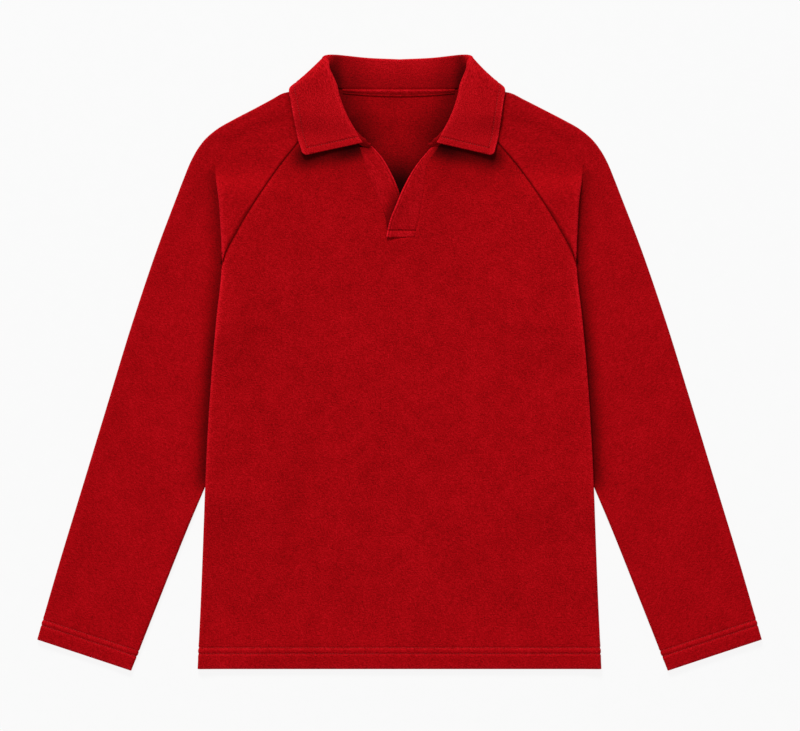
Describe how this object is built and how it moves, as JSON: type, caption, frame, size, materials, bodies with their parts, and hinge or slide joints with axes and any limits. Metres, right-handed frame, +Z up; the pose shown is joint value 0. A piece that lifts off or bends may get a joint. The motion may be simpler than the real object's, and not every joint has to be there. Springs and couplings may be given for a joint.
{
  "type": "polo shirt",
  "caption": "Red long-sleeved polo shirt in brushed cloth, with raglan sleeves, a turn-down collar and an open half placket, laid flat on its back.",
  "frame": {"origin": "on the surface that the shirt lies on, under the middle of its bounding box", "axes": "+X runs to the wearer's left sleeve, +Y along the shirt's length towards the collar, +Z up, away from the surface"},
  "size_m": [0.8704, 0.7396, 0.016],
  "materials": {
    "body_cloth": "brushed",
    "sleeve_cloth": "brushed",
    "collar_cloth": "brushed",
    "placket_cloth": "brushed",
    "neck_tape": "matte"
  },
  "bodies": {
    "root": {"front": "body_cloth", "back": "body_cloth", "sleeve_right": "sleeve_cloth", "sleeve_left": "sleeve_cloth", "collar": "collar_cloth", "placket_under": "placket_cloth", "placket_over": "placket_cloth", "neck_tape": "neck_tape"}
  },
  "joints": []
}
